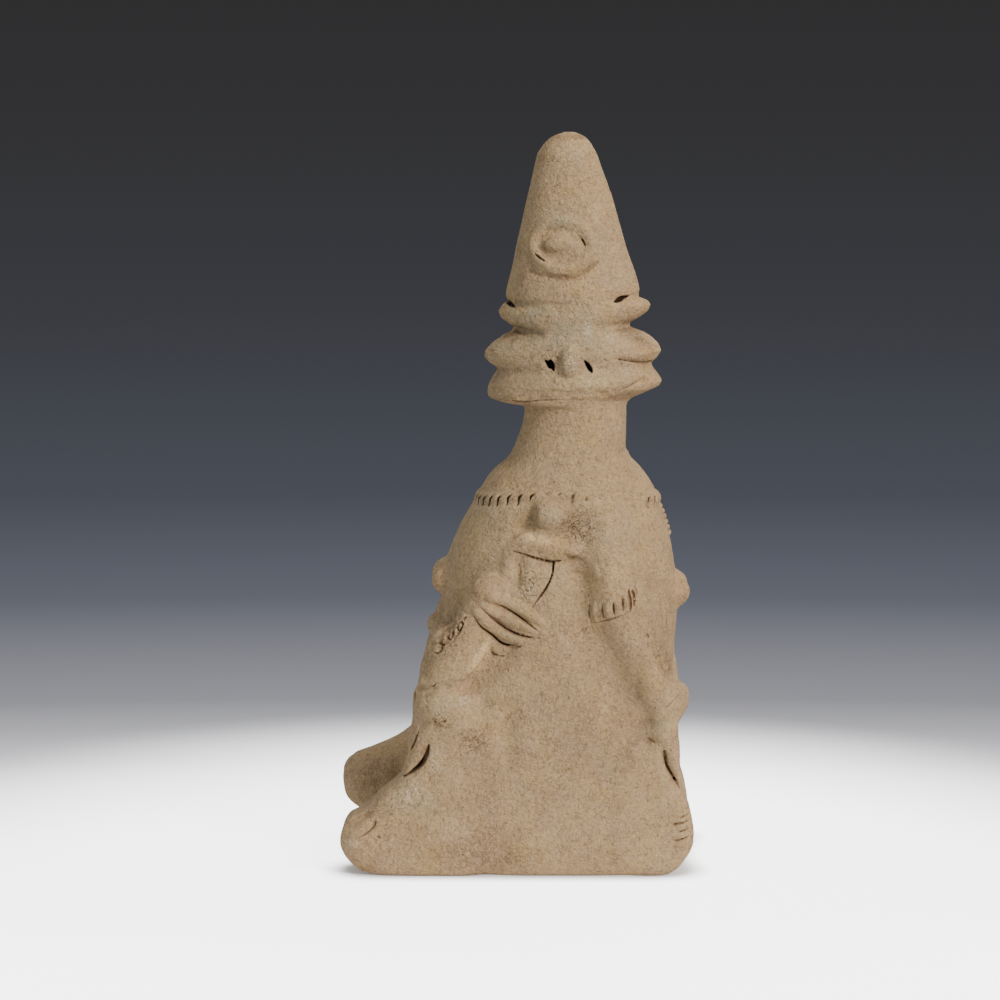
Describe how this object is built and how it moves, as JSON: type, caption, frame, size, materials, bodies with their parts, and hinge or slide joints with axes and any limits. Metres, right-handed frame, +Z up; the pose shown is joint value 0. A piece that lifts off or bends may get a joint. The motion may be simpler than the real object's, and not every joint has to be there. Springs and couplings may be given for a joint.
{
  "type": "janiform funerary figure",
  "caption": "Fired-clay funerary figure of two bodies seated back to back under one tall cone head, standing on its flat underside.",
  "frame": {"origin": "centre of the bounding box at the flat underside", "axes": "+Z up along the cone head, -X towards the first body with the outstretched legs, +X towards the second body, -Y towards the ear side whose arm holds the knife"},
  "size_m": [0.1948, 0.1238, 0.4],
  "materials": {
    "fired_clay": "matt, coarse unglazed low-fired clay with pale salts and earth in its hollows"
  },
  "bodies": {
    "root": {"figure": "fired_clay"}
  },
  "joints": []
}
